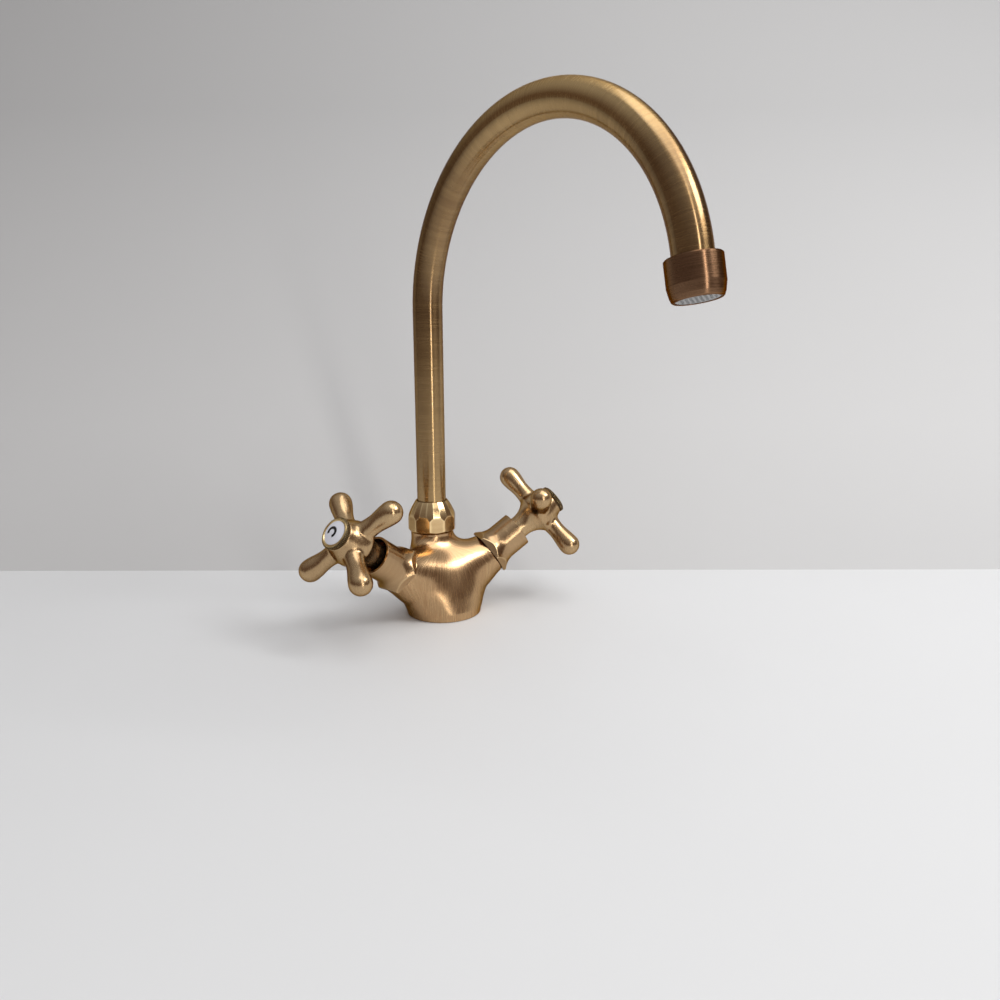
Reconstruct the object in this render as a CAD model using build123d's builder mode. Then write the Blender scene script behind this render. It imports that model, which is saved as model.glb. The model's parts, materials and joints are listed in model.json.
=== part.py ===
from build123d import *
import os
from math import atan2, cos, pi, radians, sin, tan

os.makedirs("parts", exist_ok=True)

# Single-hole basin mixer: a cast Y body, a swivelling swan neck spout and two cross handles.
# Millimetres, +Z up. The origin is the centre of the base's underside, on the deck.
# The user stands on the -Y side, and the cold handle is on +X.

# Clearances
running_gap = 0.05
thread_gap = 0.05
seam_gap = 0.25

# Cast body, outside
base_radius = 23.3
neck_radius = 13.5
neck_height = 50.5
column_setback = 12.83
shoulder_height = 42.8
belly_top = 40.0
belly_floor = 4.0
belly_half_depth = 18.0
belly_setback = 1.0
saddle_fillet = 6.0
neck_rise = 1.2
base_edge_round = 0.5

# Valve axes: where they meet, how far they rise and how far they lean towards the user
valve_root_setback = 6.79
valve_root_height = 9.13
valve_rise = 35.1
valve_cant = 15.3
branch_radius = 13.5
branch_length = 42.07

# Cast body, inside
chamber_radius = 10.0
seat_distance = 20.0
feed_radius = 4.0
feed_depth = 10.0
inlet_spacing = 19.0
inlet_setback = 4.2
inlet_thread_radius = 4.46
inlet_depth = 16.5
stud_thread_radius = 3.4
stud_setforward = 9.0
stud_depth = 13.0
mixing_radius = 5.5
mixing_floor = 24.0
link_radius = 3.0
link_distance = 26.0
socket_radius = 9.6
socket_floor = 38.0
collar_radius = 12.0
collar_height = 9.5

# Base seal in its groove
seal_outer_radius = 20.6
seal_inner_radius = 17.4
seal_height = 2.5

# Spout nut
nut_flat_radius = 14.5
nut_sides = 10
nut_wrench_height = 8.2
nut_rim_radius = 10.0
nut_height = 19.35
nut_bore_gap = 0.4
nut_chamfer = 1.4
glide_ring_thickness = 0.8

# Headwork in each branch
gasket_thickness = 0.5
cartridge_tube_radius = 8.9
cartridge_bore_radius = 7.5
cartridge_thread_length = 12.0
cartridge_lip = 1.0
flange_radius = 11.6
flange_height = 3.4
wrench_flats = 17.0
wrench_height = 8.0
cartridge_neck_radius = 6.6
cartridge_neck_length = 5.5
window_width = 8.0
window_height = 4.2
seat_seal_height = 2.2
seat_seal_bore_radius = 4.2
disc_thickness = 2.6
port_radius = 5.8
port_web_radius = 1.4
port_half_angle = 40.0

# Spindle
carrier_height = 8.0
carrier_waist = 6.0
carrier_waist_height = 5.0
tongue_width = 3.8
tongue_height = 1.2
spindle_radius = 4.5
spline_radius = 4.0
spline_depth = 0.4
spline_teeth = 20
spline_length = 17.0
spindle_screw_radius = 2.5
spindle_screw_depth = 9.0
clip_thickness = 0.8
clip_radius = 5.9
clip_groove_depth = 0.9

# O-rings
ring_section = 1.9
ring_squeeze = 0.1
groove_width = 2.3

# Shroud over each headwork
shroud_length = 24.23
shroud_radius = 11.7
shroud_bore_radius = 10.4
shroud_flats = 27.2
shroud_flare_radius = 15.7
shroud_flare_length = 11.5
shroud_rim = 1.5

# Cross handle
collar_drop = 25.0
handle_collar_radius = 7.4
collar_straight = 8.5
hub_radius = 12.6
hub_top_radius = 9.3
hub_rise = 10.3
hub_waist = 5.5
arm_reach = 30.05
arm_ball_radius = 6.7
arm_neck_radius = 5.5
arm_neck_share = 0.63
arm_root_radius = 6.5
arm_count = 4
arm_fillet = 3.5
right_handle_turn = -33.26
left_handle_turn = 46.13
socket_web = 3.0
screw_head_radius = 4.2
screw_head_height = 2.8
screw_length = 10.5
screw_slot_width = 1.2
screw_slot_depth = 1.3

# Index button on each handle
index_ring_radius = 9.6
index_ring_height = 3.2
index_knurl_depth = 0.35
index_knurl_teeth = 60
index_recess_radius = 7.7
index_recess_depth = 4.8
index_spigot_length = 3.0
index_spigot_wall = 1.2
index_disc_radius = 7.15
index_disc_seat = 1.1
index_disc_edge = 1.8
index_disc_dome = 0.6

# Spout
spout_radius = 9.0
spout_wall = 1.0
spout_bend_radius = 95.7
spout_bend_height = 186.2
spout_bend_angle = 168.5
spout_swing = 4.78
ferrule_flange_radius = 11.2
ferrule_flange_height = 2.1
ferrule_spigot_length = 8.0
ferrule_bore_radius = 5.5
ferrule_groove_rise = 4.5
ferrule_groove_pitch = 7.0

# Outlet and aerator, measured along the outlet from the housing's top
outlet_stub = 2.3
outlet_insert = 7.0
bush_radius = 11.0
bush_length = 7.6
bush_recess = 0.4
housing_radius = 12.45
housing_length = 17.7
housing_straight = 11.5
housing_tip_radius = 10.5
housing_edge = 0.5
housing_thread_depth = 10.5
housing_bore_radius = 10.2
housing_lip_radius = 9.4
housing_lip_height = 0.9
washer_height = 1.6
washer_bore_radius = 7.6
insert_flange_height = 0.9
insert_wall = 1.3
insert_face_thickness = 1.6
insert_recess = 0.3
insert_hole_radius = 0.75
insert_hole_pitch = 2.3
gauze_thickness = 0.4


class Valve:
    """One side's valve axis, with the planes that its pieces are drawn on."""

    def __init__(self, name, side, handle_turn):
        self.name = name
        self.side = side
        self.handle_turn = handle_turn
        rise, cant = radians(valve_rise), radians(valve_cant)
        self.direction = Vector(side * cos(rise) * cos(cant), -cos(rise) * sin(cant), sin(rise))
        self.root = Vector(0, valve_root_setback, valve_root_height)
        self.uphill = (Vector(0, 0, 1) - self.direction * self.direction.Z).normalized()
        self.along = Plane(self.root, x_dir=self.uphill, z_dir=self.direction)
        self.section = Plane(self.root, x_dir=self.uphill, z_dir=self.uphill.cross(self.direction))

    def point(self, distance):
        """The point on the axis at a distance from where the two axes meet."""
        return self.root + self.direction * distance

    def arm_plane(self, turn):
        """The plane that holds one arm: its X runs out along the arm, its Y along the valve axis."""
        angle = radians(turn)
        across = self.direction.cross(self.uphill)
        arm = self.uphill * cos(angle) + across * sin(angle)
        return Plane(self.point(arm_level), x_dir=arm, z_dir=arm.cross(self.direction))


# Levels along each valve axis, from the seat out to the index button
disc_radius = cartridge_bore_radius - 2 * running_gap
fixed_disc_level = seat_distance + seat_seal_height
moving_disc_level = fixed_disc_level + disc_thickness + running_gap
carrier_level = moving_disc_level + disc_thickness
carrier_top = carrier_level + carrier_height
flange_level = branch_length + gasket_thickness
flange_top = flange_level + flange_height
wrench_top = flange_top + wrench_height
cartridge_top = wrench_top + cartridge_neck_length
clip_level = cartridge_top + running_gap
handle_foot = clip_level + clip_thickness + 2 * seam_gap
arm_level = handle_foot + collar_drop
hub_top = arm_level + hub_rise
index_floor = hub_top - index_recess_depth
web_top = index_floor - screw_head_height - seam_gap
web_foot = web_top - socket_web
spindle_top = web_foot - seam_gap
index_disc_level = hub_top + index_disc_seat
shroud_mouth = branch_length + shroud_length
thread_foot = branch_length - cartridge_thread_length

# Levels up the column
collar_top = neck_height + collar_height
lower_ring_level = collar_top + running_gap
flange_foot = lower_ring_level + glide_ring_thickness + running_gap
tube_foot = flange_foot + ferrule_flange_height
upper_ring_level = tube_foot + running_gap
nut_ceiling = upper_ring_level + glide_ring_thickness
nut_foot = neck_height + seam_gap
nut_top = nut_foot + nut_height

# Frames of the column, the spout and its outlet
column = Plane((0, column_setback, 0))
column_section = Plane((0, column_setback, 0), x_dir=(1, 0, 0), z_dir=(0, -1, 0))
swing, bend = radians(spout_swing), radians(spout_bend_angle)
spout_forward = Vector(sin(swing), -cos(swing), 0)
spout_plane = Plane(column.origin, x_dir=spout_forward, z_dir=spout_forward.cross(Vector(0, 0, 1)))
outlet_direction = spout_forward * sin(bend) + Vector(0, 0, cos(bend))
bend_end = (
    column.origin
    + spout_forward * spout_bend_radius * (1 - cos(bend))
    + Vector(0, 0, spout_bend_height + spout_bend_radius * sin(bend))
)
outlet_top = bend_end + outlet_direction * outlet_stub
outlet_across = spout_forward.cross(Vector(0, 0, 1))
outlet = Plane(outlet_top, x_dir=outlet_across, z_dir=outlet_direction)
outlet_section = Plane(
    outlet_top, x_dir=outlet_across, z_dir=outlet_across.cross(outlet_direction)
)

valves = (
    Valve("left", -1, left_handle_turn),
    Valve("right", 1, right_handle_turn),
)


def between(start, end, share):
    """The value that lies a share of the way from start to end."""
    return start + (end - start) * share


def turn(plane, *outline, mode=Mode.ADD):
    """Turns an outline of (radius, height) points about the plane's own Y axis."""
    with BuildSketch(plane) as profile:
        with BuildLine():
            Polyline(*outline, close=True)
        make_face()
    revolve(profile.sketch, axis=Axis(plane.origin, plane.y_dir), mode=mode)


def round_bar(plane, radius, low, high, mode=Mode.ADD):
    """A round bar, or a drilling, along the plane's normal from low to high."""
    with BuildSketch(plane.offset(low)) as profile:
        Circle(radius)
    extrude(profile.sketch, amount=high - low, mode=mode)


def washer(plane, outer_radius, inner_radius, low, high):
    """A plain ring along the plane's normal from low to high."""
    with BuildPart() as ring:
        with BuildSketch(plane.offset(low)):
            Circle(outer_radius)
            Circle(inner_radius, mode=Mode.SUBTRACT)
        extrude(amount=high - low)
    return ring


def o_ring(section, groove_radius, level):
    """A rubber ring squeezed in its groove, whose floor has the given radius."""
    with BuildPart() as ring:
        with BuildSketch(section) as profile:
            with Locations((groove_radius + ring_squeeze / 2 + ring_section / 2, level)):
                Circle(ring_section / 2)
        revolve(profile.sketch, axis=Axis(section.origin, section.y_dir))
    return ring


def toothed_outline(count, tip_radius, root_radius):
    """Points of a round outline with straight-sided teeth."""
    points = []
    for tooth in range(count):
        for share, radius in (
            (-0.35, root_radius),
            (-0.15, tip_radius),
            (0.15, tip_radius),
            (0.35, root_radius),
        ):
            angle = (tooth + share) * 2 * pi / count
            points.append((radius * cos(angle), radius * sin(angle)))
    return points


def cut_ports(plane, low, high):
    """Two opposite fan-shaped ports through a ceramic disc."""
    reach = port_radius * tan(radians(port_half_angle))
    with BuildSketch(plane.offset(low)) as ports:
        with PolarLocations(0, 2):
            Polygon((0, 0), (port_radius, reach), (port_radius, -reach), align=None)
        Circle(port_radius, mode=Mode.INTERSECT)
        Circle(port_web_radius, mode=Mode.SUBTRACT)
    extrude(ports.sketch, amount=high - low, mode=Mode.SUBTRACT)


# The core's oval sections from the base up to the neck, as shares of the way from one to the other:
# of the height, the half width, the front and the back
core_sections = (
    (0, 0, 0, 0),
    (0.08, -0.13, 0, 0),
    (0.18, -0.39, 0.02, 0),
    (0.28, -0.63, 0.07, 0),
    (0.40, -0.71, 0.16, 0.10),
    (0.52, -0.43, 0.31, 0.43),
    (0.64, 0.18, 0.53, 0.76),
    (0.76, 0.68, 0.77, 0.96),
    (0.88, 0.95, 0.95, 1),
    (0.95, 1, 1, 1),
    (1, 1, 1, 1),
)
# The saddle's sections from the belly to a branch's end, as shares of the way there:
# of the top's reach, the underside's reach, the rise and the narrowing
saddle_sections = (
    (0.31, 0.55, 0.15, 0.25),
    (0.62, 0.82, 0.60, 0.72),
    (0.88, 0.94, 0.86, 0.97),
)


def saddle_planes(valve):
    """Plane, half height and half depth of each saddle section from the belly out to the branch end."""
    end = valve.point(branch_length)
    end_top = end + valve.uphill * branch_radius
    end_foot = end - valve.uphill * branch_radius
    sections = []
    for top_share, foot_share, rise_share, narrow_share in saddle_sections:
        setback = between(belly_setback, end.Y, rise_share)
        top = Vector(
            end_top.X * top_share, setback, between(shoulder_height, end_top.Z, rise_share)
        )
        foot = Vector(end_foot.X * foot_share, setback, between(belly_floor, end_foot.Z, rise_share))
        lean = atan2(abs(foot.X - top.X), top.Z - foot.Z)
        cant = radians(valve_cant) * rise_share
        normal = Vector(
            cos(lean) * cos(cant), -valve.side * cos(lean) * sin(cant), valve.side * sin(lean)
        )
        up = (Vector(0, 0, 1) - normal * normal.Z).normalized()
        plane = Plane((top + foot) * 0.5, x_dir=up, z_dir=normal)
        half_depth = between(belly_half_depth, branch_radius, narrow_share)
        sections.append((plane, (top - foot).length / 2, half_depth))
    end_plane = Plane(end, x_dir=valve.uphill, z_dir=valve.direction * valve.side)
    sections.append((end_plane, branch_radius, branch_radius))
    return sections


def make_body():
    """The casting: core from base to neck, saddle from branch to branch, and all its drillings."""
    left, right = (saddle_planes(valve) for valve in valves)
    belly = Plane(
        (0, belly_setback, (belly_top + belly_floor) / 2), x_dir=(0, 0, 1), z_dir=(1, 0, 0)
    )
    middle = (belly, (belly_top - belly_floor) / 2, belly_half_depth)
    with BuildPart() as body:
        for height_share, side_share, front_share, back_share in core_sections:
            half_width = between(base_radius, neck_radius, side_share)
            front = between(-base_radius, column_setback - neck_radius, front_share)
            back = between(base_radius, column_setback + neck_radius, back_share)
            with BuildSketch(Plane((0, (front + back) / 2, neck_height * height_share))):
                Ellipse(half_width, (back - front) / 2)
        loft()
        for plane, half_height, half_depth in (*reversed(left), middle, *right):
            with BuildSketch(plane):
                Ellipse(half_height, half_depth)
        loft()
        fillet(
            body.edges(Select.NEW),
            radius=min(saddle_fillet, neck_height - shoulder_height - neck_rise),
        )
        fillet(body.faces().sort_by(Axis.Z)[0].edges(), radius=base_edge_round)
        cut_valve_chambers()
        cut_spout_socket()
        cut_underside()
    return body


def cut_valve_chambers():
    """Threaded bore, seat and feed of each valve, and its link to the mixing bore."""
    for valve in valves:
        round_bar(
            valve.along, chamber_radius, seat_distance, branch_length + 1, mode=Mode.SUBTRACT
        )
        round_bar(valve.along, feed_radius, feed_depth, seat_distance, mode=Mode.SUBTRACT)
        start = valve.point(link_distance)
        end = Vector(0, column_setback, mixing_floor + link_radius)
        link = Plane(start, z_dir=end - start)
        round_bar(link, link_radius, 0, (end - start).length, mode=Mode.SUBTRACT)


def cut_spout_socket():
    """The threaded collar that the nut screws on, the spout's socket and the mixing bore."""
    turn(
        column_section,
        (0, neck_height - 1),
        (collar_radius, neck_height - 1),
        (collar_radius, collar_top),
        (0, collar_top),
    )
    round_bar(column, socket_radius, socket_floor, collar_top, mode=Mode.SUBTRACT)
    round_bar(column, mixing_radius, mixing_floor, socket_floor, mode=Mode.SUBTRACT)


def cut_underside():
    """The seal's groove, the hose inlets and the fixing stud's thread."""
    for valve in valves:
        inlet = Plane((valve.side * inlet_spacing / 2, inlet_setback, 0))
        round_bar(inlet, inlet_thread_radius, 0, inlet_depth, mode=Mode.SUBTRACT)
    round_bar(
        Plane((0, -stud_setforward, 0)), stud_thread_radius, 0, stud_depth, mode=Mode.SUBTRACT
    )
    with BuildSketch() as groove:
        Circle(seal_outer_radius)
        Circle(seal_inner_radius, mode=Mode.SUBTRACT)
    extrude(groove.sketch, amount=seal_height, mode=Mode.SUBTRACT)


def make_spout_nut():
    """Ten-sided nut: wrench flats below, and twenty facets that close in on the spout above."""
    side = 180 / nut_sides
    corner_radius = nut_flat_radius / cos(radians(side))
    # Height, and apothem of the facets, from the wrench flats' corners up to the rim
    facets = (
        (nut_wrench_height, corner_radius),
        (nut_wrench_height + 2.0, nut_flat_radius),
        (nut_height - 5.8, between(nut_rim_radius, nut_flat_radius, 0.77)),
        (nut_height - 2.4, between(nut_rim_radius, nut_flat_radius, 0.37)),
        (nut_height, nut_rim_radius),
    )
    with BuildPart() as nut:
        with BuildSketch(column.offset(nut_foot)):
            RegularPolygon(nut_flat_radius, nut_sides, major_radius=False, rotation=side)
        extrude(amount=nut_height)
        with BuildPart(mode=Mode.INTERSECT) as facet_limit:
            with BuildSketch(column.offset(nut_foot)) as lowest:
                RegularPolygon(corner_radius, 2 * nut_sides, major_radius=False, rotation=side / 2)
            extrude(lowest.sketch, amount=nut_wrench_height)
            for (low, low_radius), (high, high_radius) in zip(facets, facets[1:]):
                for level, radius in ((low, low_radius), (high, high_radius)):
                    with BuildSketch(column.offset(nut_foot + level)):
                        RegularPolygon(
                            radius, 2 * nut_sides, major_radius=False, rotation=side / 2
                        )
                loft(ruled=True)
        turn(
            column_section,
            (corner_radius - nut_chamfer, nut_foot),
            (corner_radius + 1, nut_foot),
            (corner_radius + 1, nut_foot + nut_chamfer + 1),
            mode=Mode.SUBTRACT,
        )
        round_bar(
            column, collar_radius + thread_gap, nut_foot, nut_ceiling, mode=Mode.SUBTRACT
        )
        round_bar(column, spout_radius + nut_bore_gap, nut_ceiling, nut_top, mode=Mode.SUBTRACT)
    return nut


def make_shroud(valve):
    """Bell-mouthed sleeve over the headwork, with a six-sided foot for the wrench."""
    foot = branch_length + seam_gap
    flare = branch_length + shroud_flare_length
    thread_top = flange_top + 2 * seam_gap
    with BuildPart() as shroud:
        with BuildSketch(valve.section):
            with BuildLine():
                Line((shroud_bore_radius, foot), (shroud_flare_radius, foot))
                Line((shroud_flare_radius, foot), (shroud_flare_radius, foot + shroud_rim))
                TangentArc(
                    (shroud_radius, flare),
                    (shroud_flare_radius, foot + shroud_rim),
                    tangent=(0, -1),
                )
                Line((shroud_radius, flare), (shroud_radius, shroud_mouth))
                Line((shroud_radius, shroud_mouth), (shroud_bore_radius, shroud_mouth))
                Line((shroud_bore_radius, shroud_mouth), (shroud_bore_radius, foot))
            make_face()
        revolve(axis=Axis(valve.root, valve.direction))
        with BuildSketch(valve.along.offset(foot)):
            RegularPolygon(shroud_flats / 2, 6, major_radius=False, rotation=30)
        extrude(amount=shroud_length, mode=Mode.INTERSECT)
        round_bar(valve.along, flange_radius + thread_gap, foot, thread_top, mode=Mode.SUBTRACT)
    return shroud


def make_headwork_body(valve):
    """Brass cartridge body: ported tube, thread, flange, wrench hexagon and neck."""
    with BuildPart() as headwork:
        turn(
            valve.section,
            (0, seat_distance + cartridge_lip),
            (cartridge_tube_radius, seat_distance + cartridge_lip),
            (cartridge_tube_radius, thread_foot),
            (chamber_radius - thread_gap, thread_foot),
            (chamber_radius - thread_gap, flange_level),
            (flange_radius, flange_level),
            (flange_radius, flange_top),
            (0, flange_top),
        )
        with BuildSketch(valve.along.offset(flange_top)):
            RegularPolygon(wrench_flats / 2, 6, major_radius=False)
        extrude(amount=wrench_height)
        round_bar(valve.along, cartridge_neck_radius, wrench_top, cartridge_top)
        round_bar(
            valve.along,
            cartridge_bore_radius,
            seat_distance,
            carrier_top + running_gap,
            mode=Mode.SUBTRACT,
        )
        round_bar(
            valve.along,
            spindle_radius + running_gap,
            carrier_top,
            cartridge_top,
            mode=Mode.SUBTRACT,
        )
        with BuildSketch(valve.section) as window:
            with Locations((0, carrier_level + window_height / 2)):
                Rectangle(window_width, window_height)
        extrude(window.sketch, amount=chamber_radius, both=True, mode=Mode.SUBTRACT)
    return headwork


def make_fixed_disc(valve):
    """The ceramic disc that stands on the seat seal."""
    with BuildPart() as disc:
        round_bar(
            valve.along, disc_radius, fixed_disc_level, fixed_disc_level + disc_thickness
        )
        cut_ports(valve.along, fixed_disc_level, fixed_disc_level + disc_thickness)
    return disc


def make_moving_disc(valve):
    """The ceramic disc that the spindle turns, a quarter turn from open, with its drive slot."""
    crosswise = valve.along.rotated((0, 0, 90))
    top = moving_disc_level + disc_thickness
    with BuildPart() as disc:
        round_bar(valve.along, disc_radius, moving_disc_level, top)
        cut_ports(crosswise, moving_disc_level, top)
        with BuildSketch(valve.along.offset(top - tongue_height - running_gap)):
            Rectangle(2 * cartridge_bore_radius, tongue_width + 2 * running_gap)
        extrude(amount=tongue_height + running_gap, mode=Mode.SUBTRACT)
    return disc


def make_spindle(valve):
    """Splined spindle with its ported carrier, two seal grooves and a clip groove."""
    shaft_floor = spindle_radius - ring_section - ring_squeeze + running_gap
    clip_floor = spindle_radius - clip_groove_depth
    spline_foot = spindle_top - spline_length
    with BuildPart() as spindle:
        with BuildSketch(valve.along.offset(carrier_level - tongue_height)):
            Rectangle(2 * disc_radius, tongue_width)
            Circle(disc_radius, mode=Mode.INTERSECT)
        extrude(amount=tongue_height)
        with BuildSketch(valve.along.offset(carrier_level)):
            Rectangle(2 * disc_radius, carrier_waist)
            Circle(disc_radius, mode=Mode.INTERSECT)
        extrude(amount=carrier_waist_height)
        round_bar(valve.along, disc_radius, carrier_level + carrier_waist_height, carrier_top)
        round_bar(valve.along, spindle_radius, carrier_top, spline_foot)
        with BuildSketch(valve.along.offset(spline_foot)):
            Polygon(
                *toothed_outline(spline_teeth, spline_radius, spline_radius - spline_depth),
                align=None,
            )
        extrude(amount=spline_length)
        for level in spindle_ring_levels():
            turn(
                valve.section,
                (shaft_floor, level - groove_width / 2),
                (spindle_radius + 1, level - groove_width / 2),
                (spindle_radius + 1, level + groove_width / 2),
                (shaft_floor, level + groove_width / 2),
                mode=Mode.SUBTRACT,
            )
        turn(
            valve.section,
            (clip_floor, clip_level),
            (spindle_radius + 1, clip_level),
            (spindle_radius + 1, clip_level + clip_thickness),
            (clip_floor, clip_level + clip_thickness),
            mode=Mode.SUBTRACT,
        )
        round_bar(
            valve.along,
            spindle_screw_radius,
            spindle_top - spindle_screw_depth,
            spindle_top,
            mode=Mode.SUBTRACT,
        )
    return spindle


def spindle_ring_levels():
    """Where the spindle's two O-rings sit, inside the headwork's bore."""
    return (
        between(carrier_top, cartridge_top, 0.3),
        between(carrier_top, cartridge_top, 0.6),
    )


def make_cross_handle(valve):
    """Hub with four pear-shaped arms, splined on the spindle and recessed for screw and button."""
    tip = arm_reach + arm_ball_radius
    with BuildPart() as handle:
        with BuildSketch(valve.section):
            with BuildLine():
                shoulder = (handle_collar_radius, handle_foot + collar_straight)
                flare = (hub_radius, arm_level - hub_waist)
                Line((0, handle_foot), (handle_collar_radius, handle_foot))
                Line((handle_collar_radius, handle_foot), shoulder)
                trumpet = TangentArc(shoulder, flare, tangent=(0, 1))
                crown = Spline(
                    trumpet @ 1,
                    (between(hub_top_radius, hub_radius, 0.9), between(arm_level, hub_top, 0.3)),
                    (hub_top_radius, hub_top),
                    tangents=(trumpet % 1, (-0.3, 1)),
                )
                Line(crown @ 1, (0, hub_top))
                Line((0, hub_top), (0, handle_foot))
            make_face()
        revolve(axis=Axis(valve.root, valve.direction))
        for arm in range(arm_count):
            plane = valve.arm_plane(valve.handle_turn + arm * 360 / arm_count)
            with BuildSketch(plane):
                with BuildLine():
                    root = (hub_radius / 3, arm_root_radius)
                    ball = (arm_reach, arm_ball_radius)
                    Line((root[0], 0), root)
                    Spline(
                        root,
                        (arm_reach * arm_neck_share, arm_neck_radius),
                        ball,
                        tangents=((1, 0), (1, 0)),
                    )
                    RadiusArc(ball, (tip, 0), arm_ball_radius)
                    Line((tip, 0), (root[0], 0))
                make_face()
            revolve(axis=Axis(plane.origin, plane.x_dir))
        roots = handle.edges().filter_by(lambda edge: is_arm_root(valve, edge))
        fillet(roots, radius=arm_fillet)
        cut_handle_bores(valve)
    return handle


def is_arm_root(valve, edge):
    """Whether an edge is where an arm leaves the hub."""
    middle = valve.along.to_local_coords(edge.position_at(0.5))
    reach = (middle.X**2 + middle.Y**2) ** 0.5
    return edge.geom_type == GeomType.BSPLINE and hub_radius * 0.5 < reach < arm_reach * arm_neck_share


def cut_handle_bores(valve):
    """Shaft clearance, splined socket, screw hole, screw pocket and the button's recess."""
    spline_foot = spindle_top - spline_length
    round_bar(
        valve.along,
        spindle_radius + 2 * thread_gap,
        handle_foot,
        spline_foot + running_gap,
        mode=Mode.SUBTRACT,
    )
    with BuildSketch(valve.along.offset(spline_foot)) as socket:
        Polygon(
            *toothed_outline(
                spline_teeth, spline_radius + thread_gap, spline_radius - spline_depth + thread_gap
            ),
            align=None,
        )
    extrude(socket.sketch, amount=web_foot - spline_foot, mode=Mode.SUBTRACT)
    round_bar(
        valve.along, spindle_screw_radius + seam_gap, web_foot, web_top, mode=Mode.SUBTRACT
    )
    round_bar(valve.along, screw_head_radius + seam_gap, web_top, index_floor, mode=Mode.SUBTRACT)
    round_bar(valve.along, index_recess_radius, index_floor, hub_top, mode=Mode.SUBTRACT)


def make_handle_screw(valve):
    """Slotted screw that holds the handle down on its spindle."""
    top = web_top + screw_head_height
    with BuildPart() as screw:
        round_bar(valve.along, screw_head_radius, web_top, top)
        round_bar(
            valve.along, spindle_screw_radius - thread_gap, web_top - screw_length, web_top
        )
        with BuildSketch(valve.along.offset(top - screw_slot_depth)):
            Rectangle(2 * screw_head_radius, screw_slot_width)
        extrude(amount=screw_slot_depth, mode=Mode.SUBTRACT)
    return screw


def make_index_ring(valve):
    """Knurled bezel with a bevelled face, pressed into the top of the hub by its spigot."""
    spigot_radius = index_recess_radius - running_gap
    seat_radius = spigot_radius - index_spigot_wall
    rim_radius = index_disc_radius + running_gap
    with BuildPart() as ring:
        with BuildSketch(valve.along.offset(hub_top)):
            Polygon(
                *toothed_outline(
                    index_knurl_teeth, index_ring_radius, index_ring_radius - index_knurl_depth
                ),
                align=None,
            )
        extrude(amount=index_ring_height)
        turn(
            valve.section,
            (index_ring_radius - index_knurl_depth, hub_top + index_ring_height),
            (index_ring_radius + 1, hub_top + index_ring_height),
            (index_ring_radius + 1, hub_top + index_ring_height - 1 - index_disc_dome),
            mode=Mode.SUBTRACT,
        )
        round_bar(valve.along, spigot_radius, hub_top - index_spigot_length, hub_top)
        round_bar(
            valve.along,
            seat_radius,
            hub_top - index_spigot_length,
            index_disc_level,
            mode=Mode.SUBTRACT,
        )
        round_bar(
            valve.along,
            rim_radius,
            index_disc_level,
            hub_top + index_ring_height,
            mode=Mode.SUBTRACT,
        )
    return ring


def make_index_disc(valve):
    """Domed porcelain disc inside the bezel."""
    edge = index_disc_level + index_disc_edge
    crown = edge + index_disc_dome
    with BuildPart() as disc:
        with BuildSketch(valve.section):
            with BuildLine():
                Line((0, index_disc_level), (index_disc_radius, index_disc_level))
                Line((index_disc_radius, index_disc_level), (index_disc_radius, edge))
                TangentArc((0, crown), (index_disc_radius, edge), tangent=(1, 0))
                Line((0, crown), (0, index_disc_level))
            make_face()
        revolve(axis=Axis(valve.root, valve.direction))
    return disc


def spout_path():
    """The tube's centre line: up the column, round the swan neck and down to its end."""
    with BuildLine(spout_plane) as path:
        riser = Line((0, tube_foot), (0, spout_bend_height))
        swan = JernArc(riser @ 1, riser % 1, spout_bend_radius, -spout_bend_angle)
        Line(swan @ 1, swan @ 1 + swan % 1 * (outlet_stub + outlet_insert))
    return path.line


def make_spout_tube():
    """The bent tube."""
    path = spout_path()
    with BuildPart() as tube:
        with BuildSketch(column.offset(tube_foot)):
            Circle(spout_radius)
            Circle(spout_radius - spout_wall, mode=Mode.SUBTRACT)
        sweep(path=path)
    return tube


def ferrule_ring_levels():
    """Where the ferrule's two O-rings sit in the socket."""
    lowest = socket_floor + running_gap + ferrule_groove_rise
    return (lowest, lowest + ferrule_groove_pitch)


def make_spout_ferrule():
    """Turned foot of the spout: barrel with seal grooves, flange that the nut holds, and spigot."""
    barrel_radius = socket_radius - running_gap
    groove_floor = barrel_radius - ring_section - ring_squeeze + running_gap
    foot = socket_floor + 1 + running_gap
    with BuildPart() as ferrule:
        turn(
            column_section,
            (ferrule_bore_radius, foot),
            (barrel_radius, foot),
            (barrel_radius, flange_foot),
            (ferrule_flange_radius, flange_foot),
            (ferrule_flange_radius, tube_foot),
            (spout_radius - spout_wall, tube_foot),
            (spout_radius - spout_wall, tube_foot + ferrule_spigot_length),
            (ferrule_bore_radius, tube_foot + ferrule_spigot_length),
        )
        for level in ferrule_ring_levels():
            turn(
                column_section,
                (groove_floor, level - groove_width / 2),
                (socket_radius, level - groove_width / 2),
                (socket_radius, level + groove_width / 2),
                (groove_floor, level + groove_width / 2),
                mode=Mode.SUBTRACT,
            )
    return ferrule


def make_outlet_bush():
    """Threaded bush on the tube's end."""
    return washer(outlet, bush_radius, spout_radius, bush_recess, bush_recess + bush_length)


def make_aerator_housing():
    """Turned cap that screws on the bush and holds the aerator."""
    with BuildPart() as housing:
        turn(
            outlet_section,
            (bush_radius + thread_gap, 0),
            (housing_radius - housing_edge, 0),
            (housing_radius, housing_edge),
            (housing_radius, housing_straight),
            (
                between(housing_radius, housing_tip_radius, 0.4),
                between(housing_straight, housing_length, 0.65),
            ),
            (housing_tip_radius + housing_edge, housing_length - housing_edge),
            (housing_tip_radius, housing_length),
            (housing_lip_radius, housing_length),
            (housing_lip_radius, housing_length - housing_lip_height),
            (housing_bore_radius, housing_length - housing_lip_height),
            (housing_bore_radius, housing_thread_depth),
            (bush_radius + thread_gap, housing_thread_depth),
        )
    return housing


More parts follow.
